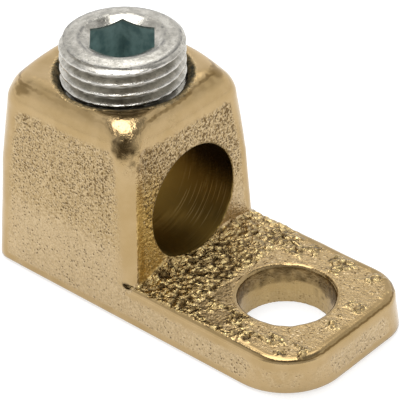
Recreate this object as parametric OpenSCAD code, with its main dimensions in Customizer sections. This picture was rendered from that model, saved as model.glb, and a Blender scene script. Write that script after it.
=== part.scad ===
// One-hole mechanical lug: a cast bronze clamp block with a drilled wire port, a flat tongue with one
// stud hole, and a socket set screw in the tapped roof of the block.
// Origin: centre of the stud hole on the flat underside. +X runs along the tongue to its tip, +Z is up.

/* [Clamp block] */
// Width of the casting across its underside
body_w = 19.2; // [17:0.1:24]
// Length of the block along the underside
block_l = 20.2; // [17:0.1:26]
// Metal above the wire port, which holds the thread
roof_t = 5.7; // [3.5:0.1:8]
// Draft of the block's two sides, in degrees
side_draft = 2.4; // [0.5:0.1:4]
// Draft of the block's front and back, in degrees
end_draft = 3; // [0.5:0.1:4]
// Radius that rounds the top edges and corners
crown_r = 3; // [1.5:0.1:4]
// Radius of the upright edges at the back
back_edge_r = 2; // [1.5:0.1:4]
// Radius of the upright edges at the front
front_edge_r = 1.3; // [0.4:0.1:2]
// Height over which the upright edges widen into the crown
crown_blend = 7; // [3:0.5:10]

/* [Tongue] */
// From the stud hole to the front of the block
tongue_reach = 11.6; // [10:0.1:20]
// From the stud hole to the tip
tip_reach = 8.9; // [8:0.1:14]
// Thickness of the tongue
tongue_t = 4.5; // [3:0.1:7]
// Draft of the tongue's edges, in degrees
tongue_draft = 3; // [2.5:0.1:6]
// Corner radius of the tip, seen from above
tip_corner_r = 5; // [2:0.1:8]
// Chamfer round the underside
foot_chamfer = 0.3; // [0.1:0.1:0.8]
// Rounding of the tongue's top edge
tongue_edge_r = 0.7; // [0.3:0.1:1.2]
// Diameter of the stud hole
stud_d = 9.5; // [6:0.1:11]
// Rounding of the stud hole's mouth
stud_lip_r = 0.4; // [0.2:0.1:1]
// Radius of the casting fillet where the tongue runs into the block
root_r = 1.2; // [0.4:0.1:2]

/* [Wire port] */
// Diameter of the drilled wire port
port_d = 12.1; // [9:0.1:13]
// Depth that the port is let into the tongue's top
port_sink = 0.25; // [0.1:0.05:0.6]
// Run-out of the drill past the block's front
port_runout = 0.1; // [0:0.1:1]
// Point angle of the drill, in degrees
drill_point = 118; // [90:1:140]

/* [Set screw] */
// Outside diameter of the thread
screw_d = 12.7; // [10:0.1:13.5]
// Thread pitch
screw_pitch = 1.27; // [0.8:0.01:1.6]
// From the stud hole to the screw's axis
screw_reach = 21.25; // [19:0.05:30]
// Length of the screw
screw_l = 9.5; // [8:0.1:12]
// Chamfer round the screw's point
screw_chamfer = 0.6; // [0.3:0.05:1]
// Width of the flat chamfer round the screw's top
top_chamfer = 1.5; // [0.6:0.1:1.7]
// Width of the hexagon socket across its flats
hex_af = 6.4; // [5:0.05:7]
// Depth of the hexagon socket
hex_depth = 5; // [3.5:0.1:6]
// Width of the countersink round the socket's mouth
hex_sink = 0.55; // [0.2:0.05:0.8]
// Turn of the hexagon about the screw's axis, in degrees
hex_turn = 12; // [0:1:60]
// Gap between the screw's point and the roof of the wire port when it is backed off
point_gap = 0.3; // [0.2:0.1:1]
// Radial gap between the thread's crests and the tapped hole
thread_gap = 0.05; // [0.02:0.01:0.1]
// Width of the countersink round the tapped hole
tap_sink = 0.75; // [0.3:0.05:1.5]
// Height above the middle of the wire port at which the tapped hole ends
tap_stop = 0.25; // [0.1:0.05:2]

/* [Hidden] */
$fn = 64;
// Segments of the rounded corners that are drawn together by hull()
hull_fn = 40;
// Overlap that keeps cuts and joins clear of shared faces
eps = 0.5;

// Levels, counted up from the underside
part_z = tongue_t / 2;
port_floor = tongue_t - port_sink;
port_z = port_floor + port_d / 2;
port_roof = port_floor + port_d;
block_top = port_roof + roof_t;
point_z = port_roof + point_gap;
screw_top = point_z + screw_l;
tap_floor = port_z + tap_stop;

// Places along the lug
front_x = -tongue_reach;
back_x = front_x - block_l;
screw_x = -screw_reach;

// Thread form of sixty degrees with flat crests and roots
thread_depth = 0.613 * screw_pitch;
top_fall = top_chamfer * tan(30);
thread_run = screw_l - screw_chamfer - top_fall;
thread_turns = floor(thread_run / screw_pitch);
tap_r = screw_d / 2 + thread_gap;

// Half width of the tongue's drafted edge at a height
function tongue_half(z) = body_w / 2 - z * tan(tongue_draft);

// Half width of the block at a height; it leaves the tongue's edge at half thickness
function block_half(z) = tongue_half(part_z) - (z - part_z) * tan(side_draft);

// Front and back faces of the block at a height
function front_at(z) = front_x - z * tan(end_draft);
function back_at(z) = back_x + z * tan(end_draft);

// Section of the tongue's edge, from a corner's axis outward: chamfer, drafted side, rounded top edge
function edge_section(r) =
    let (e = tongue_edge_r,
         c = foot_chamfer,
         rise = tongue_t - e,
         mid = r - rise * tan(tongue_draft) - e / cos(tongue_draft))
    concat(
        [[0, 0], [r - c, 0], [r - c * tan(tongue_draft), c]],
        [for (i = [0 : 8])
            let (a = tongue_draft + (90 - tongue_draft) * i / 8)
            [mid + e * cos(a), rise + e * sin(a)]],
        [[0, tongue_t]]);

// Corner post of the tongue, standing on the underside
module tongue_corner(x, y, r) {
    translate([x, y, 0])
        rotate_extrude($fn = 2 * hull_fn)
            polygon(edge_section(r));
}

// Flat tongue; it runs on under the block and ends just inside the block's back
module tongue() {
    root_x = back_x + 2 * back_edge_r;
    hull()
        for (side = [-1, 1]) {
            tongue_corner(tip_reach - tip_corner_r, side * (body_w / 2 - tip_corner_r), tip_corner_r);
            tongue_corner(root_x, side * (body_w / 2 - back_edge_r), back_edge_r);
        }
}

// Two thin corner discs of the block at a height, one on each side, cut back by a chamfer
module block_discs(z, cut = 0) {
    for (side = [-1, 1]) {
        translate([front_at(z) - front_edge_r, side * (block_half(z) - front_edge_r), z])
            cylinder(h = 0.01, r = front_edge_r - cut, $fn = hull_fn);
        translate([back_at(z) + back_edge_r, side * (block_half(z) - back_edge_r), z])
            cylinder(h = 0.01, r = back_edge_r - cut, $fn = hull_fn);
    }
}

// Drafted block: its upright edges run up plain and then widen into the round crown
module block() {
    high = block_top - crown_r;
    side_y = block_half(high) - crown_r / cos(side_draft);
    front_c = front_at(high) - crown_r / cos(end_draft);
    back_c = back_at(high) + crown_r / cos(end_draft);
    hull() {
        block_discs(0, foot_chamfer);
        block_discs(foot_chamfer);
        block_discs(high - crown_blend);
        for (side = [-1, 1])
            for (x = [front_c, back_c])
                translate([x, side * side_y, high])
                    sphere(r = crown_r, $fn = hull_fn);
    }
}

// Casting fillet along the foot of the block's front
module root_fillet() {
    half = tongue_half(tongue_t) - tongue_edge_r;
    mid_z = tongue_t + root_r;
    mid_x = front_at(mid_z) + root_r / cos(end_draft);
    translate([0, half, 0])
        rotate([90, 0, 0])
            linear_extrude(height = 2 * half)
                difference() {
                    translate([front_x - 2, part_z])
                        square([mid_x - front_x + 2, mid_z - part_z]);
                    translate([mid_x, mid_z])
                        circle(r = root_r);
                }
}

// Wire port, drilled from the back with a pointed drill; drawn from the drill's point backwards
module wire_port() {
    run = block_l + eps + port_runout;
    translate([front_x + port_runout, 0, port_z])
        rotate([0, -90, 0])
            rotate_extrude()
                polygon([
                    [0, -port_d / 2 / tan(drill_point / 2)],
                    [port_d / 2, 0],
                    [port_d / 2, run],
                    [0, run]]);
}

// Tapped hole with its countersunk mouth, cut to the thread's outside diameter
module tapped_hole() {
    translate([screw_x, 0, 0])
        rotate_extrude()
            polygon([
                [0, tap_floor],
                [tap_r, tap_floor],
                [tap_r, block_top - tap_sink],
                [tap_r + tap_sink, block_top],
                [tap_r + tap_sink, block_top + eps],
                [0, block_top + eps]]);
}

// Stud hole with a rounded mouth on the tongue's top
module stud_hole() {
    r = stud_d / 2;
    e = stud_lip_r;
    difference() {
        translate([0, 0, -eps])
            cylinder(h = tongue_t + 2 * eps, r = r + e);
        rotate_extrude()
            difference() {
                translate([r, -2 * eps])
                    square([2 * e, tongue_t - e + 2 * eps]);
                translate([r + 2 * e, -2 * eps])
                    square([e, tongue_t]);
            }
        translate([0, 0, tongue_t - e])
            rotate_extrude()
                translate([r + e, 0])
                    circle(r = e);
    }
}

// Whole casting: block, tongue and fillet in one, with its three machined holes
module lug_body() {
    color("peru")
        difference() {
            union() {
                tongue();
                block();
                root_fillet();
            }
            wire_port();
            tapped_hole();
            stud_hole();
        }
}

// Outline of the screw: chamfered ends and one groove for each turn of the thread
function screw_section() =
    let (r = screw_d / 2,
         c = screw_chamfer,
         p = screw_pitch,
         first = c + (thread_run - thread_turns * p) / 2)
    concat(
        [[0, 0], [r - c, 0], [r, c]],
        [for (i = [0 : thread_turns - 1])
            for (k = [[1 / 16, 0], [3 / 8, thread_depth], [5 / 8, thread_depth], [15 / 16, 0]])
                [r - k[1], first + (i + k[0]) * p]],
        [[r, screw_l - top_fall], [r - top_chamfer, screw_l], [0, screw_l]]);

// Hexagon socket with a countersunk mouth and a drilled bottom
module hex_socket() {
    corner_r = hex_af / 2 / cos(30);
    rotate([0, 0, hex_turn])
        translate([0, 0, screw_l - hex_depth])
            cylinder(h = hex_depth + eps, r = corner_r, $fn = 6);
    translate([0, 0, screw_l - hex_depth - 0.8])
        cylinder(h = 0.8 + eps, r1 = 0.4, r2 = hex_af / 2);
    translate([0, 0, screw_l - hex_sink])
        cylinder(h = 2 * hex_sink, r1 = corner_r - hex_sink, r2 = corner_r + 3 * hex_sink);
}

// Socket set screw, backed off until its point clears the wire port
module set_screw() {
    color("silver")
        translate([screw_x, 0, point_z])
            difference() {
                rotate_extrude()
                    polygon(screw_section());
                hex_socket();
            }
}

lug_body();
set_screw();
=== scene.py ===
"""Looks of a cast bronze one-hole lug with a zinc-plated set screw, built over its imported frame.

The casting is the zero level of a field of distances, worked out on a grid and roughened like sand-cast metal.
The screw is a grid of angles by outline, with a true helical thread. Lengths are in millimetres until a mesh is made.
"""
import math

import bpy
import numpy as np
from mathutils import Matrix


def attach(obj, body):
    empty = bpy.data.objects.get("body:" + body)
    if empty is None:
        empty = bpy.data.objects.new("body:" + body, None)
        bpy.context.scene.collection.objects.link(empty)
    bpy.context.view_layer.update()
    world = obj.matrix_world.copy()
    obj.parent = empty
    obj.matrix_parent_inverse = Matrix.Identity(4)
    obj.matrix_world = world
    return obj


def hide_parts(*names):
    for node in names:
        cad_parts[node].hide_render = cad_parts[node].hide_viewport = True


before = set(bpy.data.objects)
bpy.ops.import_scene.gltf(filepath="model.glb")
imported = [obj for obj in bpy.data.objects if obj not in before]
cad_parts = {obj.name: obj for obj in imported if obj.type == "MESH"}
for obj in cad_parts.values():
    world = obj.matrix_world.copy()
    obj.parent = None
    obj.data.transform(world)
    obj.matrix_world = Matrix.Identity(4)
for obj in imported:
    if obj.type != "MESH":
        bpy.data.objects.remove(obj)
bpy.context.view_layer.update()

MM = 0.001
TURN = 2 * math.pi

# Sizes of the casting
BODY_W, TONGUE_T, PART_Z = 19.2, 4.5, 2.25
FRONT_X, BACK_X, TIP_X, TONGUE_END = -11.6, -31.8, 8.9, -27.8
BLOCK_TOP, CROWN_R, BLEND_Z, CROWN_BLEND, FAR_BLEND = 22.05, 3.0, 12.05, 7.0, 10.0
FRONT_EDGE, BACK_EDGE, NEAR_CORNER = 1.3, 2.0, 1.5
TIP_CORNER, NEAR_TIP_FOOT, FAR_TIP_FOOT = 5.0, 6.8, 4.1
SIDE_DRAFT, END_DRAFT, TONGUE_DRAFT = (math.radians(a) for a in (2.4, 3.0, 3.0))
TONGUE_EDGE, CHAMFER = 0.7, 0.3
ROOT_NEAR, ROOT_FAR, FLUSH_FILLET, EDGE_FILLET = 1.9, 1.0, 0.04, 0.3
STUD_R, STUD_LIP, STUD_OPEN, STUD_OPEN_H = 4.75, 0.4, 0.06, 2.0
PORT_R, PORT_Z, PORT_END, DRILL_HALF = 6.05, 10.3, -11.93, math.radians(59)
TAP_R, TAP_FLOOR, TAP_SINK = 6.4, 10.55, 0.75
PORT_LIP, HOLE_LIP = 0.12, 0.1
NICK_AT, NICK_HALF = (-12.75, -9.4, 4.55), (0.65, 0.6, 0.28)

# Crown corner that looks at the camera, the way it looks in plan, and the barrel that rounds it
NEAR_X, NEAR_Y, NEAR_REACH, NEAR_EASE = -12.7, -8.7, 7.0, 0.7
LOOK_X, LOOK_Y = 0.665, -0.747
BARREL_R, BARREL_Z, BARREL_LEAN, BARREL_IN, BARREL_EDGE = 3.9, 19.2, 0.1, 0.45, 0.5

# Crown's far edges: how much less they are rounded at the middle, and the half length of that
BACK_EASE, BACK_REACH = 1.42, 7.0
SIDE_EASE, SIDE_REACH = 1.70, 6.1

# Sizes of the screw
SCREW_X, SCREW_Z, SCREW_R, SCREW_L, PITCH = -21.25, 16.65, 6.35, 9.5, 1.2
THREAD, THREAD_TURN, RUN_OUT, POINT_CHAMFER, TOP_CHAMFER = 0.76, 0.54, 0.35, 0.6, 0.45
HEX_AF, HEX_DEPTH, HEX_SINK, HEX_TURN, RING_RISE = 6.4, 5.0, 0.55, math.radians(12), 0.18
POINT_RINGS, DRILL_R, DRILL_TIP_R, DRILL_TIP_H = (2.5, 4.5), 2.12, 0.4, 0.8


# Shapes


def ease(t):
    """Smooth step: 0 below 0, 1 above 1, three t squared less two t cubed between."""
    t = np.clip(t, 0, 1)
    return t * t * (3 - 2 * t)


def ramp(v, start, end):
    """Smooth step of v from 0 at start to 1 at end, either of which may be the larger."""
    return ease((v - start) / (end - start))


def round_meet(a, b, r):
    """Field of the overlap of two solids with its edge rounded: the larger field, and within r of both faces the
    distance to the rounding's centre line less r."""
    return np.minimum(np.maximum(a, b), -r) + np.hypot(np.maximum(a + r, 0), np.maximum(b + r, 0))


def soft_join(a, b, k):
    """Field of the union of two solids with a fillet: the smaller field, lowered by a parabola where they differ by
    less than k."""
    h = np.maximum(k - np.abs(a - b), 0)
    return np.minimum(a, b) - h * h / (4 * k)


def half_width(z):
    """Half width of the block at a height: from the tongue's edge at half thickness it leans in by its draft."""
    return BODY_W / 2 - PART_Z * math.tan(TONGUE_DRAFT) - (z - PART_Z) * math.tan(SIDE_DRAFT)


def block_wall(x, y, z):
    """Upright walls of the block: drafted planes that meet in edges whose radius grows into the crown, more slowly at
    the far front edge."""
    side = (np.abs(y) - half_width(z)) * math.cos(SIDE_DRAFT)
    front = (x - FRONT_X + z * math.tan(END_DRAFT)) * math.cos(END_DRAFT)
    back = (BACK_X + z * math.tan(END_DRAFT) - x) * math.cos(END_DRAFT)
    plain = np.where(front > back, FRONT_EDGE, BACK_EDGE)
    crown = np.where((front > back) & (y < 0), NEAR_CORNER, CROWN_R)
    blend = np.where((front > back) & (y > 0), FAR_BLEND, CROWN_BLEND)
    r = plain + (crown - plain) * np.clip((z - BLEND_Z) / blend, 0, 1)
    return round_meet(side, np.maximum(front, back), r)


def tongue_wall(x, y, z):
    """Edge of the tongue seen from above: a rectangle drawn in by the draft, with round tip corners whose radius
    changes from foot to top."""
    foot = np.where(y < 0, NEAR_TIP_FOOT, FAR_TIP_FOOT)
    corner = foot + (TIP_CORNER - foot) * np.clip(z / TONGUE_T, 0, 1)
    u = x - (TIP_X - corner)
    v = np.abs(y) - (BODY_W / 2 - corner)
    plan = np.hypot(np.maximum(u, 0), np.maximum(v, 0)) + np.minimum(np.maximum(u, v), 0)
    edge = (plan - corner + z * math.tan(TONGUE_DRAFT)) * math.cos(TONGUE_DRAFT)
    return np.maximum(edge, TONGUE_END - x)


def port(x, y, z):
    """Wire port: a cylinder along X that ends in the drill's cone."""
    out = np.hypot(y, z - PORT_Z) - PORT_R
    cone = (x - PORT_END) * math.sin(DRILL_HALF) + out * math.cos(DRILL_HALF)
    return np.maximum(out, cone)


def tapped(x, y, z):
    """Tapped hole of the set screw at its outside diameter, with a countersunk mouth."""
    out = np.hypot(x - SCREW_X, y) - TAP_R
    mouth = (out - z + BLOCK_TOP - TAP_SINK) / math.sqrt(2)
    return np.maximum(np.minimum(out, mouth), TAP_FLOOR - z)


def stud(x, y, z):
    """Stud hole: a cylinder that opens slightly from half thickness to the top, as its core drew out."""
    return np.hypot(x, y) - STUD_R - STUD_OPEN * np.clip(z - PART_Z, 0, STUD_OPEN_H)


def near_corner(x, y):
    """1 at the crown corner that looks at the camera, easing to 0 at its reach."""
    return ease(1 - np.hypot(x - NEAR_X, y - NEAR_Y) / NEAR_REACH)


def near_axes(x, y):
    """Distances from the near corner seen from above: out towards the camera, and aside to its right."""
    u, v = x - NEAR_X, y - NEAR_Y
    return LOOK_X * u + LOOK_Y * v, -LOOK_Y * u + LOOK_X * v


def far_edges(x, y):
    """How much less the crown's two far edges are rounded: most at their middles, as a parabola to their ends."""
    back = BACK_EASE * np.maximum(1 - (y / BACK_REACH) ** 2, 0) * ramp(x, -25, -28)
    side = SIDE_EASE * np.maximum(1 - ((x - SCREW_X) / SIDE_REACH) ** 2, 0) * ramp(y, 3, 6)
    return np.maximum(back, side)


def root_nick(x, y, z):
    """Small flattened ellipsoid cut out where the near upright edge meets the tongue."""
    offsets = ((v - middle) / half for v, middle, half in zip((x, y, z), NICK_AT, NICK_HALF))
    return NICK_HALF[2] * (1 - np.sqrt(sum(offset ** 2 for offset in offsets)))


def outside(x, y, z):
    """The casting without its holes: block and tongue joined with a fillet that fades out at the flush sides, a crown
    corner rounded like a barrel across it, fuller far edges, and a nick at the tongue's root."""
    wall, edge = block_wall(x, y, z), tongue_wall(x, y, z)
    out, _ = near_axes(x, y)
    barrel = out + BARREL_LEAN * (z - BARREL_Z) + BARREL_IN
    crown = CROWN_R - NEAR_EASE * near_corner(x, y) - far_edges(x, y)
    block = round_meet(wall, z - BLOCK_TOP, crown)
    block = round_meet(block, round_meet(barrel, z - BLOCK_TOP, BARREL_R), BARREL_EDGE)
    plate = round_meet(edge, z - TONGUE_T, TONGUE_EDGE)
    inward = half_width(z) - np.abs(y)
    full = ROOT_NEAR + (ROOT_FAR - ROOT_NEAR) * ramp(y, -3, 2)
    fillet = FLUSH_FILLET + EDGE_FILLET * ramp(inward, 0.1, 0.9)
    fillet = fillet + (full - FLUSH_FILLET - EDGE_FILLET) * ramp(inward, 0.6, 5.1)
    solid = soft_join(block, plate, fillet)
    solid = np.maximum(solid, root_nick(x, y, z))
    foot = np.maximum(-z, (np.minimum(wall, edge) - z + CHAMFER) / math.sqrt(2))
    return np.maximum(solid, foot)


def casting(x, y, z):
    """The whole casting: its outside less the three holes, with small roundings at their mouths."""
    solid = round_meet(outside(x, y, z), -port(x, y, z), PORT_LIP)
    solid = round_meet(solid, -tapped(x, y, z), HOLE_LIP)
    return round_meet(solid, -stud(x, y, z), np.where(z > PART_Z, STUD_LIP, HOLE_LIP))


def slope_of(field, p, h=0.01):
    """Unit gradient of a field at points, from differences over a short step each way."""
    x, y, z = p.T
    g = np.stack([
        field(x + h, y, z) - field(x - h, y, z),
        field(x, y + h, z) - field(x, y - h, z),
        field(x, y, z + h) - field(x, y, z - h)], 1)
    return g / np.maximum(np.linalg.norm(g, axis=1, keepdims=True), 1e-9)


def skin(field, axes, rounds=6, pull=0.03):
    """Zero surface of a field on a grid, by dual contouring: each grid line that crosses the surface gives a quad,
    and each grid box on the surface one vertex, where the tangent planes at its crossings meet best. Crossings are
    found in some rounds of false position, and vertices are pulled a little to the mean of their crossings."""
    f = field(axes[0][:, None, None], axes[1][None, :, None], axes[2][None, None, :])
    inside = f < 0
    crossings, rings = [], []
    for axis in range(3):
        low = np.stack(np.nonzero(np.diff(inside, axis=axis)), 1)
        high = low.copy()
        high[:, axis] += 1
        a, b = axes[axis][low[:, axis]], axes[axis][high[:, axis]]
        fa, fb = f[tuple(low.T)], f[tuple(high.T)]
        p = np.stack([axes[d][low[:, d]] for d in range(3)], 1)
        for _ in range(rounds):
            gap = np.where(np.abs(fb - fa) < 1e-12, 1, fb - fa)
            middle = np.clip(a - fa * (b - a) / gap, np.minimum(a, b), np.maximum(a, b))
            p[:, axis] = middle
            fm = field(*p.T)
            first = (fm < 0) == (fa < 0)
            a, fa = np.where(first, middle, a), np.where(first, fm, fa)
            b, fb = np.where(first, b, middle), np.where(first, fb, fm)
        turn = [low.copy() for _ in range(4)]
        for box, (s, t) in zip(turn, ((0, 0), (1, 0), (1, 1), (0, 1))):
            box[:, (axis + 1) % 3] -= s
            box[:, (axis + 2) % 3] -= t
        ring = np.stack([np.ravel_multi_index(tuple(box.T), f.shape) for box in turn], 1)
        out_first = ~inside[tuple(low.T)]
        ring[out_first] = ring[out_first, ::-1]
        crossings.append(p)
        rings.append(ring)
    p, ring = np.concatenate(crossings), np.concatenate(rings)
    boxes, quads = np.unique(ring, return_inverse=True)
    quads = quads.reshape(-1, 4)
    n = slope_of(field, p)
    owner = quads.ravel()

    def gather(values):
        """Sum over the crossings round each box."""
        flat = np.repeat(values.reshape(len(p), -1), 4, axis=0)
        return np.stack([np.bincount(owner, flat[:, c], len(boxes)) for c in range(flat.shape[1])], 1)

    count = gather(np.ones(len(p)))
    centre = gather(p) / count
    planes = gather(n[:, :, None] * n[:, None, :]).reshape(-1, 3, 3)
    reach = gather(n * np.sum(n * p, 1, keepdims=True)) - np.einsum("nij,nj->ni", planes, centre)
    planes += pull * count[:, :, None] * np.eye(3)
    vertex = centre + np.linalg.solve(planes, reach[:, :, None])[:, :, 0]
    index = np.stack(np.unravel_index(boxes, f.shape), 1)
    floor = np.stack([axes[d][index[:, d]] for d in range(3)], 1)
    roof = np.stack([axes[d][index[:, d] + 1] for d in range(3)], 1)
    return np.clip(vertex, floor, roof), quads


def steps(*stops):
    """Grid values from stop to stop: pairs of a value and the spacing up to the next value."""
    parts = []
    for (a, gap), (b, _) in zip(stops, stops[1:]):
        parts.append(np.linspace(a, b, max(2, round((b - a) / gap) + 1))[:-1])
    return np.append(np.concatenate(parts), stops[-1][0])


def lump_noise(p, size, seed, side=48):
    """Smooth noise from -1 to 1: seeded heights on a lattice, eased from corner to corner."""
    heights = np.random.default_rng(seed).uniform(-1, 1, side ** 3)
    q = p / size
    base = np.floor(q).astype(int)
    t = q - base
    t = t ** 3 * (t * (6 * t - 15) + 10)
    total = 0
    for corner in np.ndindex(2, 2, 2):
        share = np.prod(np.where(corner, t, 1 - t), axis=1)
        at = (base + corner) % side
        total = total + share * heights[(at[:, 0] * side + at[:, 1]) * side + at[:, 2]]
    return total


def grain_noise(p, size, seed, side=32):
    """Packed round grains from 0 to 1: one jittered point in each lattice box, and a height that falls with the
    squared distance to the nearest."""
    jitter = np.random.default_rng(seed).uniform(0, 1, (side ** 3, 3))
    q = p / size
    base = np.floor(q).astype(int)
    nearest = np.full(len(p), np.inf)
    for corner in np.ndindex(3, 3, 3):
        box = base + corner - 1
        at = box % side
        seat = box + jitter[(at[:, 0] * side + at[:, 1]) * side + at[:, 2]]
        nearest = np.minimum(nearest, np.sum((q - seat) ** 2, axis=1))
    return np.maximum(1 - nearest, 0)


def thread_depth(turns):
    """Depth of the thread, 0 on the crest and 1 in the root, from the turns along the pitch: flat crest and root with
    straight flanks of sixty degrees between."""
    return np.clip((np.abs(turns - np.round(turns)) - 1 / 16) / (5 / 16), 0, 1)


def screw_grid(count=240, thread_rows=181, hex_rows=14):
    """Set screw as angles by outline: flat point, chamfer, helical thread that runs out at the top, narrow bowed
    chamfer, domed top face, countersink, hexagon walls and drilled bottom. The radius of a thread row is the outside
    less the depth at height over pitch less angle over a full turn; a hexagon row is the flat's distance over the
    cosine of the angle from its middle."""
    angle = np.arange(count) * TURN / count + HEX_TURN
    level = np.ones(count)
    shoulder, bottom = SCREW_L - RING_RISE, SCREW_L - HEX_DEPTH
    height = np.linspace(0, shoulder, thread_rows)
    turns = height[:, None] / PITCH - angle[None, :] / TURN + THREAD_TURN
    fade = ramp(height, shoulder + RUN_OUT, shoulder - RUN_OUT)
    point = SCREW_R - POINT_CHAMFER + height
    ring_r = SCREW_R - TOP_CHAMFER
    # The chamfer drops by half its way out and half the square of that
    bow = np.linspace(0, 2 * TOP_CHAMFER, 25)
    crown = np.interp(shoulder - height, 0.5 * bow + 0.5 * bow ** 2, ring_r + bow)
    blank = np.minimum(point, crown)[:, None]
    thread = np.minimum(SCREW_R - THREAD * thread_depth(turns) * fade[:, None], blank)
    sixth = TURN / 6
    hexagon = HEX_AF / 2 / np.cos((angle - HEX_TURN) % sixth - sixth / 2)
    lip = HEX_AF / 2 / math.cos(sixth / 2) + HEX_SINK
    meet = SCREW_L - (lip - hexagon) / 2
    quarters = (0.25, 0.5, 0.75, 1.0)

    # Rows of radius, height and whether they are in the socket
    rows = [(r * level, 0 * level, 0) for r in POINT_RINGS]
    threads = slice(len(rows), len(rows) + thread_rows)
    rows += [(thread[i], height[i] * level, 0) for i in range(thread_rows)]
    for s in quarters:
        dome = shoulder + RING_RISE * s * (1.3 - 0.3 * s)
        rows.append(((ring_r + (lip - ring_r) * s) * level, dome * level, 0))
    rows += [(lip + (hexagon - lip) * s, SCREW_L + (meet - SCREW_L) * s, 0) for s in quarters]
    rows += [(hexagon, meet + (bottom - meet) * s, 1) for s in np.linspace(0, 1, hex_rows + 1)[1:]]
    rows += [(DRILL_R * level, bottom * level, 1), (DRILL_TIP_R * level, (bottom - DRILL_TIP_H) * level, 1)]

    radius, z = (np.array([row[c] for row in rows]) for c in (0, 1))
    p = np.stack([SCREW_X + radius * np.cos(angle), radius * np.sin(angle), SCREW_Z + z], 2)
    i, j = np.meshgrid(np.arange(len(rows) - 1), np.arange(count), indexing="ij")
    right = (j + 1) % count
    quads = np.stack([i * count + j, i * count + right, (i + 1) * count + right, (i + 1) * count + j], 2)
    points = np.concatenate([p.reshape(-1, 3), [[SCREW_X, 0, SCREW_Z], [SCREW_X, 0, p[-1, 0, 2]]]])
    ring = np.arange(count)
    last = (len(rows) - 1) * count
    caps = np.concatenate([
        np.stack([(ring + 1) % count, ring, np.full(count, len(points) - 2)], 1),
        np.stack([last + ring, last + (ring + 1) % count, np.full(count, len(points) - 1)], 1)])

    # Layers: a value for each point of the grid and for the middles of the two caps
    edge, depth, crest = (np.zeros(radius.shape) for _ in range(3))
    edge[[threads.stop - 1, threads.stop - 1 + len(quarters)]] = 1
    depth[threads] = (np.minimum(SCREW_R, blank) - thread) / THREAD
    # Where the painted highlight goes: the thread's crests below the top chamfer
    crest[threads] = ease(1 - depth[threads] / 0.2) * (crown > SCREW_R)[:, None]
    inner = np.repeat(np.array([float(row[2]) for row in rows])[:, None], count, 1)
    layers = {
        "root": np.append(depth.ravel(), [0, 0]), "socket": np.append(inner.ravel(), [0, 1]),
        "edge": np.append(edge.ravel(), [0, 0]), "crest": np.append(crest.ravel(), [0, 0])}
    return points, quads.reshape(-1, 4).tolist() + caps.tolist(), layers


def make_piece(name, points, faces, layers, finish, sharp):
    """Mesh object at the origin from points in millimetres, with a value per vertex for each named layer, shaded
    smooth up to an angle in degrees."""
    mesh = bpy.data.meshes.new(name)
    mesh.from_pydata(np.asarray(points) * MM, [], faces)
    mesh.polygons.foreach_set("use_smooth", np.ones(len(mesh.polygons), bool))
    mesh.set_sharp_from_angle(angle=math.radians(sharp))
    for layer, values in layers.items():
        mesh.attributes.new(layer, "FLOAT", "POINT").data.foreach_set("value", np.asarray(values, np.float32))
    mesh.materials.append(finish)
    mesh.update()
    piece = bpy.data.objects.new(name, mesh)
    bpy.context.scene.collection.objects.link(piece)
    return piece


# Finishes


class Wire:
    """A shader socket that Python's operators work on; each operator adds a Math node."""

    def __init__(self, tree, socket=None):
        self.tree, self.socket = tree, socket

    def node(self, kind, settings=None, out=0, **inputs):
        """Any node: its type, its settings, which are set first, and the values or links of its sockets by identifier
        or name. Gives the output of that name or number."""
        made = self.tree.nodes.new(kind)
        for key, value in (settings or {}).items():
            setattr(made, key, value)
        for key, value in inputs.items():
            named = [s for s in made.inputs if s.identifier == key] or [s for s in made.inputs if s.name == key]
            if isinstance(value, Wire):
                self.tree.links.new(value.socket, named[0])
            else:
                named[0].default_value = value
        return Wire(self.tree, made.outputs[out])

    def math(self, operation, a, b):
        return self.node("ShaderNodeMath", {"operation": operation}, Value=a, Value_001=b)

    def __add__(self, other):
        return self.math("ADD", self, other)

    def __sub__(self, other):
        return self.math("SUBTRACT", self, other)

    def __rsub__(self, other):
        return self.math("SUBTRACT", other, self)

    def __mul__(self, other):
        return self.math("MULTIPLY", self, other)

    __radd__, __rmul__ = __add__, __mul__

    def most(self, other):
        return self.math("MAXIMUM", self, other)

    def step(self, low, high):
        """0 below low, 1 above high, smooth between."""
        return self.node("ShaderNodeMapRange", {"interpolation_type": "SMOOTHSTEP"}, Value=self,
                         **{"From Min": low, "From Max": high})

    def mix(self, a, b):
        """Colour a where this is 0 and b where it is 1."""
        return self.node("ShaderNodeMix", {"data_type": "RGBA"}, 2, Factor_Float=self, A_Color=a, B_Color=b)


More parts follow.
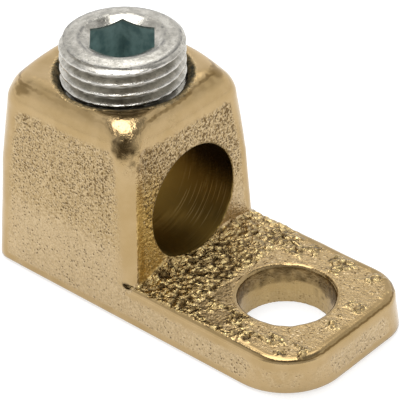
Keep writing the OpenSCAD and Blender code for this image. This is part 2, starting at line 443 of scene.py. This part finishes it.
class Finish:
    """A material in the making: patterns on Object coordinates in millimetres, and layers of the piece's vertices."""

    def __init__(self, name):
        self.material = bpy.data.materials.new(name)
        self.material.use_nodes = True
        self.tree = self.material.node_tree
        self.tree.nodes.clear()
        self.wire = Wire(self.tree)
        self.node = self.wire.node
        self.place = self.node("ShaderNodeVectorMath", {"operation": "SCALE"},
                               Vector=self.node("ShaderNodeTexCoord", out="Object"), Scale=1 / MM)

    def layer(self, name):
        return self.node("ShaderNodeAttribute", {"attribute_name": name}, "Fac")

    def noise(self, scale, detail=2.0, rough=0.5, stretch=(1, 1, 1)):
        """Noise with so many waves to the millimetre, and more or fewer along each axis."""
        place = self.node("ShaderNodeVectorMath", {"operation": "MULTIPLY"}, Vector=self.place, Vector_001=stretch)
        return self.node("ShaderNodeTexNoise", None, 0, Vector=place, Scale=scale, Detail=detail, Roughness=rough)

    def cells(self, scale, out, bend=0.7, shift=(0, 0, 0)):
        """Scattered cells, so many to the millimetre, with their outlines bent by noise: the distance to the nearest
        seed, or its random colour."""
        warp = self.node("ShaderNodeTexNoise", None, "Color", Vector=self.place, Scale=0.67 * scale, Detail=2.0)
        place = self.node("ShaderNodeVectorMath", {"operation": "ADD"}, Vector=self.place, Vector_001=shift)
        place = self.node("ShaderNodeVectorMath", {"operation": "MULTIPLY_ADD"}, Vector=warp,
                          Vector_001=(bend, bend, bend), Vector_002=place)
        return self.node("ShaderNodeTexVoronoi", None, out, Vector=place, Scale=scale)

    def metal(self, colour, rough, height, metallic=1.0):
        """Metal of that colour and roughness, with bumps of that height in millimetres."""
        normal = self.node("ShaderNodeBump", None, 0, Height=height, Distance=MM, Strength=1.0)
        return self.close(self.node("ShaderNodeBsdfPrincipled", None, 0, Metallic=metallic, Roughness=rough,
                                    Normal=normal, **{"Base Color": colour}))

    def close(self, shader):
        """The material, with that shader as its surface."""
        output = self.tree.nodes.new("ShaderNodeOutputMaterial")
        self.tree.links.new(shader.socket, output.inputs["Surface"])
        return self.material


def rgb(r, g, b):
    return (r, g, b, 1.0)


# Colours of the bronze
CAST_DARK, CAST_PALE, CAST_LOW = rgb(0.335, 0.232, 0.105), rgb(0.530, 0.397, 0.220), rgb(0.56, 0.43, 0.262)
RUBBED_DARK, RUBBED_PALE, PAINTED_LAND_SHADE = rgb(0.405, 0.283, 0.132), rgb(0.465, 0.335, 0.173), rgb(0.27, 0.185, 0.080)
PAINTED_REFLECTION_DARK, PAINTED_REFLECTION_PALE = rgb(0.49, 0.315, 0.074), rgb(0.80, 0.545, 0.168)
PAINTED_PIT_HIGHLIGHT, BROWN = rgb(0.74, 0.59, 0.38), rgb(0.125, 0.070, 0.017)
GRAIN, PAINTED_GRAIN_GLINT, PAINTED_GRAIN_SHADE = rgb(0.48, 0.325, 0.095), rgb(1.0, 0.78, 0.37), rgb(0.07, 0.038, 0.008)
DRILLED_DARK, DRILLED_PALE, SCRATCH = rgb(0.295, 0.193, 0.047), rgb(0.41, 0.28, 0.082), rgb(0.74, 0.56, 0.26)
STAIN_AND_SHADE, GRIME_DARK, GRIME_PALE = rgb(0.055, 0.034, 0.012), rgb(0.075, 0.070, 0.046), rgb(0.21, 0.160, 0.085)

# Colours of the zinc
ZINC_DARK, ZINC_PALE, ZINC_TURNED = rgb(0.315, 0.300, 0.262), rgb(0.545, 0.520, 0.465), rgb(0.25, 0.245, 0.225)
ZINC_SPECK, ZINC_ROOT, ZINC_CREST_HIGHLIGHT = rgb(0.14, 0.14, 0.13), rgb(0.25, 0.23, 0.19), rgb(0.80, 0.78, 0.74)
ZINC_EDGE, SOCKET_DARK, SOCKET_PALE = rgb(0.06, 0.06, 0.058), rgb(0.17, 0.252, 0.243), rgb(0.37, 0.49, 0.472)


def cast_bronze():
    """Sand-cast bronze: brass-brown metal with fine grain and dark pits on the cast faces, a painted highlight beside
    some pits, smooth rubbed edges with a thin brown line that is partly painted dark reflection, coarse golden grains
    at the tongue's root with painted glints on their tips and painted shade in the gaps between them, dark drilled
    holes, dark stained spots and grime, painted shade in the port, in the nick and on the level top of the tongue, a
    painted dark reflection on the near crown corner, and a painted golden reflection low on the front face beside the
    port."""
    f = Finish("cast_bronze")
    grit, rub, bore, grime, zone = (f.layer(n) for n in ("grit", "rub", "bore", "grime", "pits"))
    low, stain_and_shade, bright, scuff = (f.layer(n) for n in ("grain_gap_shade", "stain_and_shade", "bright", "scuff"))
    face = (1 - bore) * (1 - rub)
    cloud = f.noise(0.30, 3.0, 0.6)
    fine = f.noise(4.6, 2.0, 0.55)
    lean = zone * 0.55 + (cloud - 0.5) * 0.9 + (f.noise(0.85, 2.0, 0.5) - 0.5) * 0.6

    def pits(scale, shift=(0, 0, 0)):
        """Small dots at some of the scattered seeds, more where lean is high."""
        chosen = f.node("ShaderNodeSeparateColor", None, 0, Color=f.cells(scale, "Color", 0.12, shift)) + lean
        return (1 - f.cells(scale, "Distance", 0.12, shift).step(0.16, 0.42)) * chosen.step(0.82, 0.98)

    dark = pits(2.9).most(pits(4.3) * 0.75) * face
    # Painted highlight: light dots beside the dark pits, shifted as if their lips were lit from one side
    light = pits(2.9, (0.07, 0.02, 0.12)) * face
    deep = (f.noise(2.9, 1.5, 0.5) + lean * 0.25).step(0.76, 0.82) * face
    speckle = fine.step(0.34, 0.66)

    cast = speckle.mix(CAST_DARK, CAST_PALE)
    cast = ((1 - zone.step(0.25, 0.60)) * 0.4).mix(cast, CAST_LOW)
    smooth = cloud.step(0.3, 0.7).mix(RUBBED_DARK, RUBBED_PALE)
    # Painted shade: the level top of the tongue is darkened towards deep brown
    tone = (f.layer("land") * 0.6).mix(face.mix(smooth, cast), PAINTED_LAND_SHADE)
    # Painted reflection: low on the front face beside the port, the saturated gold of the tongue that it mirrors
    tone = (bright * 0.75).mix(tone, speckle.mix(PAINTED_REFLECTION_DARK, PAINTED_REFLECTION_PALE))
    # Painted highlight beside the pits
    tone = (light * 0.5).mix(tone, PAINTED_PIT_HIGHLIGHT)
    seam = f.layer("seam") + (f.noise(1.3, 3.0, 0.6) - 0.5) * 2.4
    # The thin brown line and the soft patches beside it are partly dirt and partly painted dark reflection on the
    # rounded edges
    line = (1 - seam.most(0 - seam).step(0.3, 1.0)) * f.layer("brown")
    brown = line.most(f.layer("halo")) * 0.75
    tone = (dark * 0.85).most(deep * 0.9).most(brown).mix(tone, BROWN)

    grain = f.cells(1.55, "Distance")
    # Painted glints: bright golden tips on some of the root's grains
    tip = f.noise(1.9, 2.0, 0.5).step(0.5, 0.62) * grit
    tone = (grit * 0.45).mix(tone, GRAIN)
    tone = (tip * 0.8).mix(tone, PAINTED_GRAIN_GLINT)
    # Painted shade in the gaps between the root's grains
    tone = (low.most(grain.step(0.40, 0.75) * grit) * 0.90).mix(tone, PAINTED_GRAIN_SHADE)

    some = f.noise(0.22, 1.0, 0.5).step(0.45, 0.62)
    rings = f.noise(1.0, 2.0, 0.6, stretch=(3.2, 0.14, 0.14))
    drilled = (rings.step(0.35, 0.7) * some).mix(DRILLED_DARK, DRILLED_PALE)
    scratch = f.noise(1.0, 1.0, 0.5, stretch=(5.5, 0.16, 0.16)).step(0.58, 0.64) * f.layer("drag")
    drilled = (scratch * 0.7).mix(drilled, SCRATCH)
    tone = bore.mix(tone, drilled)
    # Dark stained spots, with painted shade in the port and the nick and a painted dark reflection on the near corner
    tone = stain_and_shade.mix(tone, STAIN_AND_SHADE)
    dirt = f.noise(1.9, 3.0, 0.65).step(0.40, 0.60)
    tone = grime.mix(tone, dirt.mix(GRIME_DARK, GRIME_PALE))

    coarse = f.noise(2.0, 3.0, 0.6)
    height = (coarse - 0.5) * (0.10 * face + 0.012 * rub + 0.11 * scuff + 0.12 * bright)
    height = height + (fine - 0.5) * (0.04 * face + 0.08 * stain_and_shade) - dark * 0.04
    height = height + ((0.6 - grain) * 0.50 + (f.noise(3.6, 2.0, 0.6) - 0.5) * 0.22) * grit
    height = height + (rings - 0.5) * 0.03 * bore * some + (dirt - 0.5) * 0.12 * grime
    rough = 0.15 + face * (1 - grit) * 0.13 + dark * 0.12 + (cloud - 0.5) * 0.08
    rough = rough + grime * 0.4 + bore * 0.26 + scuff * 0.05 + bright * 0.20
    return f.metal(tone, rough, height)


def zinc_plate():
    """Zinc-plated steel: pale grey metal with faint turning marks and specks, duller in the thread's roots, a painted
    highlight on its crests, dark on the worn edges of the top face and dark blue-grey in the socket."""
    f = Finish("zinc_plate")
    root, socket, edge = f.layer("root"), f.layer("socket"), f.layer("edge")
    cloud = f.noise(1.1, 3.0, 0.6)
    turned = f.noise(1.0, 2.0, 0.6, stretch=(0.5, 0.5, 5.0))
    fine = f.noise(5.0, 2.0, 0.6)
    tone = cloud.step(0.3, 0.7).mix(ZINC_DARK, ZINC_PALE)
    tone = (turned.step(0.52, 0.72) * 0.30).mix(tone, ZINC_TURNED)
    tone = (fine.step(0.58, 0.68) * 0.55).mix(tone, ZINC_SPECK)
    tone = (root.step(0.55, 1.0) * 0.25).mix(tone, ZINC_ROOT)
    # Painted highlight on the thread's crests
    tone = (f.layer("crest") * 0.48).mix(tone, ZINC_CREST_HIGHLIGHT)
    tone = (edge * cloud.step(0.42, 0.56) * 0.8).mix(tone, ZINC_EDGE)
    streak = f.noise(1.0, 3.0, 0.6, stretch=(0.9, 0.9, 0.7))
    tone = socket.mix(tone, streak.step(0.30, 0.70).mix(SOCKET_DARK, SOCKET_PALE))
    height = (fine - 0.5) * 0.012 + (cloud - 0.5) * 0.03 + (turned - 0.5) * 0.01
    rough = 0.24 + (cloud - 0.5) * 0.14 + socket * 0.15 + root * 0.12
    return f.metal(tone, rough, height, 1 - socket * 0.5)


# Layers of the casting. Here at holds the points of the smooth casting, n its normals, and p the roughened points.

# Heights of the root's top and of the feet of the roof and the crown, and the plan places of two brown patches
LAND_TOP, ROOF_Z, CROWN_Z = 8.0, 20.0, 19.0
RIGHT_PATCH, LEFT_PATCH = (-14.4, 6.2), (-27.8, -7.8)


def hole_walls(x, y, z):
    """1 on the walls of the port, the tapped hole and the stud hole, fading just off them."""
    return [ramp(np.abs(hole(x, y, z)), 0.12, 0.02) for hole in (port, tapped, stud)]


def edge_bend(at, n, reach=0.9):
    """How strongly the outside bends: its mean field at four points beside, less the field at the point."""
    across = np.cross(n, np.where(np.abs(n[:, 2:]) > 0.7, [[1.0, 0, 0]], [[0, 0, 1.0]]))
    across /= np.linalg.norm(across, axis=1, keepdims=True)
    along = np.cross(n, across)
    beside = [at + s * reach * d for s in (-1, 1) for d in (across, along)]
    return sum(outside(*q.T) for q in beside) / len(beside) - outside(*at.T)


def rubbed(at, n, lip):
    """Places rubbed smooth: outer edges, the stud hole's lip, the roof, and the near side towards its two ends."""
    x, _, z = at.T
    edges = ramp(edge_bend(at, n) + 0.016 * lump_noise(at, 0.6, 41), 0.006, 0.056)
    edges = edges * (1 - 0.15 * ramp(lump_noise(at, 2.0, 42), 0.2, 0.7))
    ends = np.maximum(ramp(x, -15.8, -12.6), ramp(x, -28.0, -30.5))
    ends = ends * (n[:, 1] < -0.8) * (x < -11.5) * (z > TONGUE_T)
    roof = ramp(z, 20.9, 21.2) * (n[:, 2] > 0.7)
    return np.maximum.reduce([edges, 0.8 * lip, roof, 0.85 * ends])


def rough_ground(at, n):
    """Where coarse grains lie on the tongue: all over its root, and in patches round the stud hole."""
    x, y, z = at.T
    top = ramp(n[:, 2], 0.15, 0.45) * (z > 3.5) * (z < LAND_TOP)
    spread = lump_noise(at, 1.3, 21) + 0.6 * lump_noise(at, 0.7, 22)
    root = top * ramp(x, -5.4, -6.3) * ramp(y, -9.15, -8.85) * (1 - 0.45 * ramp(y, 2.0, 6.0))
    strip = top * ramp(y, -4.9, -5.5) * ramp(y, -9.1, -8.7) * ramp(x, 1.5, -0.5) * ramp(x, -6.5, -5.5)
    root = np.maximum(root, strip * ramp(spread, -0.35, -0.05))
    band = np.maximum(ramp(np.abs(y), 5.3, 5.8), ramp(x, 5.2, 5.7) * ramp(np.abs(y - 1), 3.0, 2.0))
    patches = top * band * ramp(np.abs(y), 8.6, 8.1) * ramp(x, 7.7, 7.2)
    return root, patches * ramp(spread, -0.02, 0.23) * (1 - root)


def tapped_thread(x, y, z):
    """Depth of the tapped hole's thread from 0 to 1: a rounded wave along the pitch, less angle over a full turn."""
    turns = z / PITCH - np.arctan2(y, x - SCREW_X) / TURN
    return ramp(z, 21.0, 20.6) * (z > TAP_FLOOR + 0.3) * (0.5 - 0.5 * np.cos(TURN * turns))


def recess_grime(at, p, in_tap):
    """Grime in the mouth of the tapped hole and in a broken ring round it."""
    x, y, z = at.T
    out = np.hypot(x - SCREW_X, y)
    ring = ramp(out - 0.4 * lump_noise(p, 1.0, 51), 7.2, 6.9) * ramp(lump_noise(p, 0.6, 52), -0.2, 0.4)
    ring = np.maximum(ring, 0.7 * ramp(out, 7.32, 7.20)) * (z > ROOF_Z)
    return np.maximum(in_tap * ramp(z, 13, 16), 0.85 * ring)


def brown_and_reflection_lines(at, p, n):
    """Brown of the crown and the tip, partly dirt and partly painted dark reflection on the rounded edges: how far a
    point is from the thin line, in half widths, how strong the line is there, and soft patches beside it."""
    x, y, z = at.T
    slant, crown = n[:, 2], z > CROWN_Z
    middle = 0.79 + 0.15 * ramp(y, -1, 6) * (n[:, 0] > 0.1)
    seam = np.where(crown, (slant - middle) / 0.06, (slant - 0.72) / 0.14)
    brim = ramp(lump_noise(p, 1.2, 54), -0.9, -0.4) * (0.8 + 0.4 * lump_noise(p, 0.45, 58)).clip(0, 1)
    brim = brim * crown * np.where(n[:, 1] < -0.1, 1 - 0.65 * ramp(x, -28.5, -23.5), 1)
    rim = (z > 3.6) * (z < 4.6) * ramp(x, 3, 6)
    halo = ramp(np.abs(slant - 0.82), 0.15, 0.05) * crown * ramp(lump_noise(p, 0.7, 59), -0.1, 0.6)
    right = ramp(np.hypot(x - RIGHT_PATCH[0], y - RIGHT_PATCH[1]) - 0.3 * lump_noise(p, 0.5, 60), 0.9, 0.4)
    left = np.hypot(0.6 * (x - LEFT_PATCH[0]), y - LEFT_PATCH[1])
    left = ramp(left - 0.4 * lump_noise(p, 0.5, 61), 0.8, 0.2)
    ends = np.maximum(0.8 * right, 0.85 * left) * (z > 20.5)
    return seam, np.maximum(brim, rim), np.maximum(0.4 * halo, ends)


def stains_and_shade(at, p, in_port, in_stud):
    """Dark marks, partly real and partly painted: a darker upper half of the stud hole's wall and spots low in it,
    painted shade in the top of the port and in the nick, specks on the near corner and a painted dark reflection
    across it.
    """
    x, y, z = at.T
    near = near_corner(x, y)
    _, aside = near_axes(x, y)
    # Darker upper half of the stud hole's wall
    worn = ramp(z - 0.25 * lump_noise(p, 1.1, 31), 2.35, 2.65) * (0.5 + 0.3 * lump_noise(p, 0.5, 32))
    spots = ramp(0.75 * x + 0.66 * y, 2.6, 3.8) * ramp(z, 0.8, 1.8) * ramp(lump_noise(p, 0.45, 33), 0, 0.5)
    # Painted shade in the upper, deeper part of the port
    port_shade = in_port * ramp(z, 7.5, 11.5) * ramp(x, -21, -16)
    # Painted shade in the nick at the tongue's root
    nick = ramp(np.abs(root_nick(x, y, z)), 0.10, 0.02) * (x < -12.6)
    specks = near ** 3 * ramp(lump_noise(p, 0.5, 55), 0.3, 0.5) * ramp(z, 16, 18) * (z < 20.5)
    # Painted dark reflection on the near crown corner, below its highlight
    corner_dark_reflection = ramp(np.abs(aside + 0.45 + 0.3 * lump_noise(p, 0.7, 57)), 1.05, 0.75) * (near > 0)
    corner_dark_reflection = corner_dark_reflection * ramp(z, 21.15, 20.75) * ramp(z, 18.8, 19.2)
    corner_dark_reflection = corner_dark_reflection * np.clip(0.85 + 0.7 * lump_noise(p, 0.45, 56), 0, 1)
    kinds = [in_stud * worn, 0.7 * in_stud * spots, 0.97 * port_shade, 0.7 * nick, 0.5 * specks, 0.95 * corner_dark_reflection]
    return np.maximum.reduce(kinds).clip(0, 1)


# Pieces


def build_casting(finish):
    """Casting from its field, with the sand-cast roughness pushed out along the normals and layers for the finish."""
    axes = (
        steps((-32.3, 0.29), (-12.6, 0.12), (-4.4, 0.20), (9.4, 0)),
        steps((-9.9, 0.165), (9.9, 0)),
        steps((-0.35, 0.28), (3.5, 0.13), (6.4, 0.275), (22.4, 0)))
    at, quads = skin(casting, axes)
    n = slope_of(casting, at)
    x, y, z = at.T
    in_port, in_tap, in_stud = hole_walls(x, y, z)
    bore = np.maximum.reduce([in_port, in_tap, 0.35 * in_stud])
    lip = ramp(np.hypot(x, y), STUD_R + 0.75, STUD_R + 0.45) * (z > 3.7)
    root, patches = rough_ground(at, n)
    grit = np.clip(root + 0.8 * patches, 0, 1) * (1 - lip) * (1 - bore)
    bare = (1 - bore) * (1 - grit)
    scuff = near_corner(x, y) ** 2 * ramp(z, 15, 18)

    grains = 0.6 * grain_noise(at, 0.85, 5) + 0.4 * grain_noise(at, 0.52, 7) + 0.15 * lump_noise(at, 0.4, 6)
    wave = 0.03 * lump_noise(at, 4.0, 3) + 0.012 * lump_noise(at, 1.3, 4) + 0.05 * lip * lump_noise(at, 1.1, 43)
    wave = wave + scuff * (0.06 * lump_noise(at, 0.9, 44) + 0.035 * lump_noise(at, 0.5, 45))
    move = (1 - bore) * (z > 0.4) * wave + 0.50 * grit * (grains - 0.62) + 0.06 * patches
    move = move - 0.35 * in_tap * tapped_thread(x, y, z)
    p = at + n * move[:, None]

    level = n[:, 2] > 0.6
    land = level * (z < LAND_TOP)
    zone = 0.24 + 0.84 * ramp(z, 6, 14) + 0.55 * ramp(n[:, 0], 0.7, 0.9) * ramp(z, 8, 12)
    zone = np.where(land, 0.42, np.where(level, 0.1, zone))
    seam, brown, halo = brown_and_reflection_lines(at, p, n)
    drag = in_port * ramp(x, -19, -17) * ramp(x, -12.3, -13.1) * ramp(z, 9.4, 8.2) * ramp(z, 4.6, 5.6) * (y > 0)
    # Where the painted golden reflection of the tongue goes: low on the front face, on the near side of the port
    bright = (x < -10) * ramp(n[:, 0], 0.87, 0.95) * ramp(z, 18, 12) * ramp(y, -3.5, -5.5)
    layers = {
        "grit": grit, "rub": rubbed(at, n, lip) * bare, "bore": bore, "grime": recess_grime(at, p, in_tap),
        # The second layer here is painted shade between the pushed-out grains of the root
        "pits": zone * (1 - grit), "grain_gap_shade": grit * ramp(grains, 0.60, 0.25),
        # Here: dark spots mixed with painted shade and a painted dark reflection
        "stain_and_shade": stains_and_shade(at, p, in_port, in_stud), "bright": bright * bare, "scuff": scuff,
        "brown": brown * (1 - bore), "seam": seam, "halo": halo * (1 - bore), "drag": drag,
        # The last layer marks the level top of the tongue for its painted shade
        "land": land * (1 - grit)}
    return make_piece("cast_lug_body", p, quads.tolist(), layers, finish, sharp=50)


# Stage. The camera's lengths are in millimetres, the floor's and the lamp's in metres.

CAMERA_AZIMUTH, CAMERA_ELEVATION, CAMERA_ROLL = (math.radians(a) for a in (41.69, 34.778, -0.94))
CAMERA_DISTANCE, CAMERA_TARGET = 250.1, (-11.3, 0.0, 10.79)
GAP_FROM, GAP_TO, PANEL_UP = (math.radians(a) for a in (51, 56, 51))
FLOOR_HALF, FLOOR_Z = 3.0, -0.00003
LAMP_AT, LAMP_SIZE, LAMP_POWER = (-0.0853, -0.001, 0.47), (0.30, 0.43), 1.40
LIGHT_PEAK = 4.0


def photo_camera():
    """Camera on a sphere round the target: back points to it, right is level, and both are turned by the roll."""
    a, e, r = CAMERA_AZIMUTH, CAMERA_ELEVATION, CAMERA_ROLL
    back = np.array([math.sin(a) * math.cos(e), -math.cos(a) * math.cos(e), math.sin(e)])
    right = np.array([math.cos(a), math.sin(a), 0.0])
    up = np.cross(back, right)
    right, up = right * math.cos(r) + up * math.sin(r), up * math.cos(r) - right * math.sin(r)
    data = bpy.data.cameras.new("photo_camera")
    data.lens, data.sensor_width = 225.0, 36.0
    data.clip_start, data.clip_end = 0.01, 50.0
    camera = bpy.data.objects.new("photo_camera", data)
    place = (np.array(CAMERA_TARGET) + back * CAMERA_DISTANCE) * MM
    camera.matrix_world = Matrix(np.vstack([np.column_stack([right, up, back, place]), [0, 0, 0, 1]]).tolist())
    bpy.context.scene.collection.objects.link(camera)
    bpy.context.scene.camera = camera


def seen_rays(wire):
    """1 for camera, glossy and transmission rays."""
    seen = wire.node("ShaderNodeLightPath", None, "Is Camera Ray")
    for kind in ("Is Glossy Ray", "Is Transmission Ray"):
        seen = seen.most(wire.node("ShaderNodeLightPath", None, kind))
    return seen


def white_floor():
    """Pale floor that is white where it is lit and keeps the shadow. Its glow shows to the camera and in reflections,
    and lights nothing else."""
    f = Finish("white_floor")
    paper = f.node("ShaderNodeBsdfDiffuse", None, 0, Color=rgb(0.50, 0.50, 0.50))
    glow = f.node("ShaderNodeEmission", None, 0, Color=seen_rays(f.wire).mix(rgb(0, 0, 0), rgb(0.65, 0.65, 0.65)))
    material = f.close(f.node("ShaderNodeAddShader", None, 0, Shader=paper, Shader_001=glow))
    mesh = bpy.data.meshes.new("studio_floor")
    signs = ((-1, -1), (1, -1), (1, 1), (-1, 1))
    mesh.from_pydata([(s * FLOOR_HALF, t * FLOOR_HALF, FLOOR_Z) for s, t in signs], [], [[0, 1, 2, 3]])
    mesh.materials.append(material)
    floor = bpy.data.objects.new("studio_floor", mesh)
    bpy.context.scene.collection.objects.link(floor)


def studio():
    """Soft studio: a white backdrop up to half height all round and right up on the far side, brighter near the
    horizon, a dim gap above the rest, a small bright panel high on the far side, half as bright on the camera's
    side, and one soft lamp overhead. The camera itself sees plain white."""
    world = bpy.data.worlds.new("studio")
    bpy.context.scene.world = world
    world.use_nodes = True
    tree = world.node_tree
    tree.nodes.clear()
    w = Wire(tree)
    way = w.node("ShaderNodeTexCoord", None, "Generated")
    height = w.node("ShaderNodeSeparateXYZ", None, "Z", Vector=way)
    to_camera = (math.sin(CAMERA_AZIMUTH), -math.cos(CAMERA_AZIMUTH))

    def along(*direction):
        """Cosine of the angle to a direction."""
        return w.node("ShaderNodeVectorMath", {"operation": "DOT_PRODUCT"}, "Value", Vector=way, Vector_001=direction)

    facing = along(*to_camera, 0.0)
    shade = facing.step(0.42, 0.60)
    far = 1 - facing.step(-0.62, -0.40)
    backdrop = 1 - height.step(math.sin(GAP_FROM), math.sin(GAP_TO)) * (1 - far)
    horizon = 1 - height.step(0.30, 0.58)
    panel = along(*(-c * math.cos(PANEL_UP) for c in to_camera), math.sin(PANEL_UP)).step(0.980, 0.992)
    light = 0.38 + backdrop * 0.59 + horizon * 0.22 + far * 0.10 + panel * 2.1
    light = light * (1 - shade * 0.45)
    seen = w.node("ShaderNodeLightPath", None, "Is Camera Ray")
    # A mix holds its factor to 1, so the level is taken as a share of the peak
    level = (seen + (1 - seen) * light) * (1 / LIGHT_PEAK)
    glow = w.node("ShaderNodeBackground", None, 0, Color=level.mix(rgb(0, 0, 0), rgb(*[LIGHT_PEAK] * 3)))
    output = tree.nodes.new("ShaderNodeOutputWorld")
    tree.links.new(glow.socket, output.inputs["Surface"])
    data = bpy.data.lights.new("overhead_lamp", "AREA")
    data.shape, data.energy = "ELLIPSE", LAMP_POWER
    data.size, data.size_y = LAMP_SIZE
    lamp = bpy.data.objects.new("overhead_lamp", data)
    lamp.location = LAMP_AT
    lamp.rotation_euler = (0.0, 0.0, CAMERA_AZIMUTH)
    bpy.context.scene.collection.objects.link(lamp)


photo_camera()
white_floor()
studio()

lug = build_casting(cast_bronze())
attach(lug, "lug_body")
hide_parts("lug_body")

points, faces, layers = screw_grid()
screw = make_piece("zinc_set_screw", points, faces, layers, zinc_plate(), sharp=35)
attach(screw, "set_screw")
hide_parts("set_screw")

bpy.context.scene.view_settings.view_transform = "Standard"
